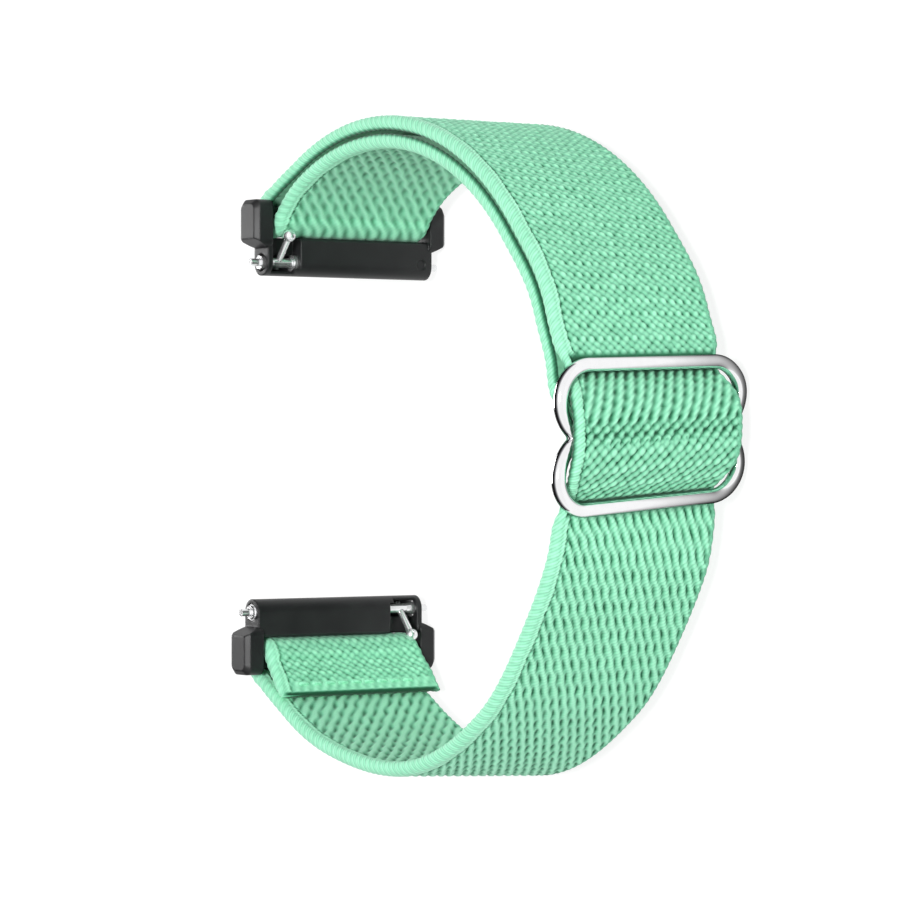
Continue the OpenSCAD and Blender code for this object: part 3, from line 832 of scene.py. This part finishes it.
def webbing_material():
    """Mint cloth, with painted shade down in the weave's pits and at the shaded places that the weave
    attribute carries, and fine threads wound round the selvedge.
    """
    made, nt, bsdf = material("mint_webbing")
    weave = point_value(nt, "weave")
    strip = nt.nodes.new("ShaderNodeUVMap")
    strip.uv_map = "strip"
    flat = strip.outputs[0]
    # the colour runs from near-black painted shade in the pits to the light mint of the crests, partly
    # the cloth's own tone and partly painted shade
    colour = ramp(nt, weave, [
        (0.0, (0.003, 0.055, 0.022)), (0.25, (0.048, 0.245, 0.127)),
        (0.6, (0.215, 0.625, 0.395)), (0.95, (0.42, 0.95, 0.65))])
    tone = ramp(nt, noise(nt, flat, 3.0, 3.0), [(0.3, (0.93, 0.95, 0.94)), (0.7, (1.03, 1.02, 1.03))])
    # in cm, as the strip's map is
    thread_pitch = 0.038
    split = nt.nodes.new("ShaderNodeSeparateXYZ")
    nt.links.new(flat, split.inputs[0])
    slanted = maths(nt, "MULTIPLY_ADD", split.outputs["Y"], 0.8, split.outputs["X"])
    threads = maths(nt, "SINE", maths(nt, "MULTIPLY", slanted, TURN / thread_pitch))
    threads = maths(nt, "MULTIPLY", threads, point_value(nt, "selvedge"))
    lined = multiplied(nt, multiplied(nt, colour, tone), maths(nt, "MULTIPLY_ADD", threads, 0.13, 0.98))
    nt.links.new(lined, bsdf.inputs["Base Color"])
    grain = noise(nt, flat, 95.0, 4.0)
    bump(nt, bsdf, maths(nt, "MULTIPLY_ADD", threads, 0.6, grain), 0.35, 0.00006)
    rough = ramp(nt, weave, [(0.0, grey(0.9)), (1.0, grey(0.62))])
    nt.links.new(rough, bsdf.inputs["Roughness"])
    bsdf.inputs["Sheen Weight"].default_value = 0.25
    bsdf.inputs["Sheen Roughness"].default_value = 0.5
    bsdf.inputs["Sheen Tint"].default_value = (0.8, 1.0, 0.9, 1)
    bsdf.inputs["Specular IOR Level"].default_value = 0.25
    return made


def thread_material():
    made, nt, bsdf = material("mint_thread")
    twist = noise(nt, object_place(nt), 4000.0, 2.0)
    tint = ramp(nt, twist, [(0.3, (0.26, 0.72, 0.46)), (0.7, (0.40, 0.92, 0.63))])
    nt.links.new(tint, bsdf.inputs["Base Color"])
    bump(nt, bsdf, twist, 0.4, 0.00004)
    bsdf.inputs["Roughness"].default_value = 0.6
    bsdf.inputs["Specular IOR Level"].default_value = 0.3
    return made


def steel_material(name, roughness, base, scratch, metallic=1.0, edge_tint=1.0):
    """Steel with fine scratches. An edge tint below 1 darkens it where it turns away."""
    made, nt, bsdf = material(name)
    place = object_place(nt)
    cloud = noise(nt, place, 900.0, 4.0)
    tint = ramp(nt, cloud, [(0.3, tuple(0.96 * c for c in base)), (0.7, base)])
    nt.links.new(tint, bsdf.inputs["Base Color"])
    shade = ramp(nt, cloud, [(0.3, grey(0.7 * roughness)), (0.7, grey(1.3 * roughness))])
    nt.links.new(shade, bsdf.inputs["Roughness"])
    bump(nt, bsdf, noise(nt, place, 9000.0, 2.0), scratch, 0.00001)
    bsdf.inputs["Metallic"].default_value = metallic
    bsdf.inputs["Specular Tint"].default_value = (*grey(edge_tint), 1)
    return made


def plastic_material():
    """Black moulded plastic with a fine grain and slightly rounded edges."""
    made, nt, bsdf = material("black_moulding")
    place = object_place(nt)
    cloud = noise(nt, place, 260.0, 2.0)
    tint = ramp(nt, cloud, [(0.3, (0.013, 0.013, 0.014)), (0.7, (0.019, 0.019, 0.020))])
    nt.links.new(tint, bsdf.inputs["Base Color"])
    shade = ramp(nt, cloud, [(0.3, grey(0.36)), (0.7, grey(0.44))])
    nt.links.new(shade, bsdf.inputs["Roughness"])
    rounded = node(nt, "ShaderNodeBevel", Radius=0.0003)
    rounded.samples = 6
    bump(nt, bsdf, noise(nt, place, 5200.0, 3.0), 0.3, 0.00001, rounded.outputs[0])
    bsdf.inputs["Specular IOR Level"].default_value = 0.3
    return made


WEBBING = webbing_material()
THREAD = thread_material()
POLISHED = steel_material("polished_wire", 0.06, (0.96, 0.96, 0.97), 0.05, edge_tint=0.02)
TURNED = steel_material("turned_bar", 0.2, (0.92, 0.92, 0.93), 0.2, metallic=0.85)
PLASTIC = plastic_material()


def coat(obj, made):
    obj.data.materials.clear()
    obj.data.materials.append(made)


def dress(obj, made, body=None, nodes=()):
    """A piece's material and slot, the body it rides on and the CAD nodes that it replaces."""
    coat(obj, made)
    if body:
        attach(obj, body)
    if nodes:
        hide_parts(*nodes)


# Webbing

lower_fold = webbing_piece("webbing_lower_fold", TAIL_S, LOWER_FOLD_END, wound=0.45, start_cap=True)
outer_lower = webbing_piece("webbing_outer_lower_half", LOWER_FOLD_END, SLIDER_S)
outer_upper = webbing_piece("webbing_outer_upper_half", SLIDER_S, UPPER_FOLD_START, left=False)
upper_fold = webbing_piece("webbing_upper_fold", UPPER_FOLD_START, INNER_START, left=False, wound=0.45)
inner_layer = webbing_piece("webbing_inner_layer", INNER_START, LEAD_START, left=False)
slider_fold = webbing_piece("webbing_slider_fold", LEAD_START, STRIP_END, end_cap=True)

dress(lower_fold, WEBBING, "strap", ["webbing_lower_loop"])
dress(upper_fold, WEBBING, "strap", ["webbing_upper_loop"])
dress(slider_fold, WEBBING, "slider", ["webbing_slider_loop"])
dress(outer_lower, WEBBING, nodes=["webbing_lower", "webbing_slider_run"])
dress(outer_upper, WEBBING, nodes=["webbing_outer", "webbing_slider_run"])
dress(inner_layer, WEBBING, nodes=["webbing_inner"])

# the two halves of the outer layer and the inner layer keep their places in their meshes
for piece, side in ((outer_lower, -1), (outer_upper, 1), (inner_layer, 1)):
    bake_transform(piece)

# Slider

wire = wire_object("slider_wire", [loop_wire(half_figure(side), WIRE_R) for side in (1, -1)])
dress(wire, POLISHED, "slider", ["slider_frame"])
middle_bar = wire_object("slider_middle_bar", [loop_wire(center_bar(), CENTER_BAR_D / 2)])
dress(middle_bar, POLISHED, "slider", ["slider_center_bar"])

# Stitches

seam_angle = TAIL_END + math.degrees(SEAM_INSET / OUTER_R)
outer_seam = path_at(polar(OUTER_R, -seam_angle), LOWER_FOLD_END - 8, LOWER_FOLD_END)
tail_rows = stitch_row(SEAM_INSET, WEBBING_W) + stitch_row(outer_seam, WEBBING_W)
tail_seam = wire_object("tail_stitches", tail_rows)
dress(tail_seam, THREAD, "strap", ["lower_stitching"])
sewn_angle = SLIDER_TAIL_END + 1
sewn_place = turned(polar(slider_r(INNER_R, RISE, sewn_angle), sewn_angle), SLIDER_ANGLE)
slider_seam = wire_object(
    "slider_stitches", stitch_row(path_at(sewn_place, LEAD_START, LEAD_END), SLIDER_LOOP_W))
dress(slider_seam, THREAD, "slider", ["slider_stitching"])

# Springs in the bars, as coils that fill the boxes of the CAD springs. A real spring shortens towards
# its fixed tip as its lever is drawn back.

for end, tip_corner in (("upper", 1), ("lower", 0)):
    lo, hi = (np.array(corner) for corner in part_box(end + "_bar_spring"))
    spring = coil(end + "_coil", lo, hi, SPRING_WIRE_D / 2 / 1000, SPRING_TURNS)
    dress(spring, TURNED, end + "_bar", [end + "_bar_spring"])
    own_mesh(spring)

# CAD nodes that are shown as they are

for name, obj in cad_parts.items():
    if name.endswith("_connector"):
        coat(obj, PLASTIC)
    elif name.endswith(("_bar_barrel", "_fixed_tip", "_release_pin", "_release_lever")):
        coat(obj, TURNED)

# Camera, as the photo's: it looks at the loop at an angle to the loop's axis

VIEW_ANGLE = 55.7
DISTANCE = 400.0
PHOTO_PX = 900
FOCAL_PX = 3772.0
LOOP_CENTRE_PX = (449.5, 445.6)
SENSOR_W = 36.0


def photo_camera():
    back = Vector((math.sin(math.radians(VIEW_ANGLE)), 0, math.cos(math.radians(VIEW_ANGLE))))
    up = Vector((0, 1, 0))
    right = up.cross(back)
    px = DISTANCE / FOCAL_PX / 1000
    at = Vector(to_row([0, 0, 0])) + back * (DISTANCE / 1000)
    at -= right * ((LOOP_CENTRE_PX[0] - PHOTO_PX / 2) * px)
    at += up * ((LOOP_CENTRE_PX[1] - PHOTO_PX / 2) * px)
    data = bpy.data.cameras.new("camera")
    data.sensor_width = SENSOR_W
    data.lens = FOCAL_PX / PHOTO_PX * SENSOR_W
    data.clip_start = 0.01
    data.clip_end = 10
    camera = bpy.data.objects.new("camera", data)
    scene.collection.objects.link(camera)
    turn = Matrix((right, up, back)).transposed()
    camera.matrix_world = Matrix.Translation(at) @ turn.to_4x4()
    scene.camera = camera


photo_camera()

# Floor and light

# the middle of the floor's dark spot in bright metal, in metres
DARKEST = (0.009, 0, 0)


def chosen(nt, ray, plain, special):
    """A shader that is the plain one but for one kind of ray, which sees the special one."""
    made = nt.nodes.new("ShaderNodeMixShader")
    nt.links.new(nt.nodes.new("ShaderNodeLightPath").outputs[ray], made.inputs[0])
    nt.links.new(plain, made.inputs[1])
    nt.links.new(special, made.inputs[2])
    return made.outputs[0]


def floor_material():
    """A white floor that keeps the shadow. Bright metal sees it dark beneath the slider."""
    made, nt, bsdf = material("floor")
    bsdf.inputs["Base Color"].default_value = (0.7, 0.7, 0.7, 1)
    bsdf.inputs["Roughness"].default_value = 1.0
    bsdf.inputs["Specular IOR Level"].default_value = 0.0
    glow = node(nt, "ShaderNodeEmission", Strength=0.84)
    faint = node(nt, "ShaderNodeBsdfDiffuse", Color=(0.22, 0.22, 0.22, 1))
    white = nt.nodes.new("ShaderNodeAddShader")
    nt.links.new(faint.outputs[0], white.inputs[0])
    nt.links.new(glow.outputs[0], white.inputs[1])
    away = nt.nodes.new("ShaderNodeVectorMath")
    away.operation = "DISTANCE"
    away.inputs[1].default_value = DARKEST
    nt.links.new(object_place(nt), away.inputs[0])
    beneath = nt.nodes.new("ShaderNodeEmission")
    # rings of grey by the distance in tenths of a metre
    rings = ramp(nt, maths(nt, "MULTIPLY", away.outputs["Value"], 10.0), [
        (0.19, grey(0.004)), (0.22, grey(0.10)), (0.28, grey(0.55)), (0.37, grey(1.0))])
    nt.links.new(rings, beneath.inputs["Color"])
    seen = chosen(nt, "Is Camera Ray", bsdf.outputs[0], white.outputs[0])
    seen = chosen(nt, "Is Glossy Ray", seen, beneath.outputs[0])
    nt.links.new(seen, nt.nodes["Material Output"].inputs["Surface"])
    return made


def studio_world():
    """Soft white light. Bright metal sees it white on the slider's side and dark behind the band."""
    world = bpy.data.worlds.new("studio")
    scene.world = world
    world.use_nodes = True
    nt = world.node_tree
    sky = nt.nodes["Background"]
    sky.inputs["Color"].default_value = (1, 1, 1, 1)
    sky.inputs["Strength"].default_value = 0.38
    split = nt.nodes.new("ShaderNodeSeparateXYZ")
    nt.links.new(nt.nodes.new("ShaderNodeTexCoord").outputs["Generated"], split.inputs[0])
    along = maths(nt, "MULTIPLY_ADD", split.outputs["X"], 0.5, 0.5)
    sides = ramp(nt, along, [(0.24, grey(0.01)), (0.40, (0.16, 0.16, 0.17)), (0.58, grey(0.95))])
    studio = nt.nodes.new("ShaderNodeBackground")
    nt.links.new(sides, studio.inputs["Color"])
    white = node(nt, "ShaderNodeBackground", Color=(1, 1, 1, 1), Strength=1.0)
    seen = chosen(nt, "Is Glossy Ray", sky.outputs[0], studio.outputs[0])
    seen = chosen(nt, "Is Camera Ray", seen, white.outputs[0])
    nt.links.new(seen, nt.nodes["World Output"].inputs["Surface"])


def area_light(name, at, size, energy, aim=(0, 0, 0.012)):
    """A square light with its place and side in metres and its energy in watts, aimed at the band."""
    light = bpy.data.lights.new(name, "AREA")
    light.size = size
    light.energy = energy
    obj = bpy.data.objects.new(name, light)
    obj.location = at
    obj.rotation_mode = "QUATERNION"
    obj.rotation_quaternion = (Vector(aim) - Vector(at)).to_track_quat("-Z", "Y")
    scene.collection.objects.link(obj)


floor_mesh = bpy.data.meshes.new("floor")
floor_mesh.from_pydata([(-2, -2, 0), (2, -2, 0), (2, 2, 0), (-2, 2, 0)], [], [(0, 1, 2, 3)])
floor = bpy.data.objects.new("floor", floor_mesh)
scene.collection.objects.link(floor)
floor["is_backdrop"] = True
floor.data.materials.append(floor_material())
studio_world()
area_light("key", (0.40, 0.03, 0.54), 0.14, 3.9)
area_light("behind", (-0.42, 0.05, 0.12), 0.2, 0.9)

# Sizes

lo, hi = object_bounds()
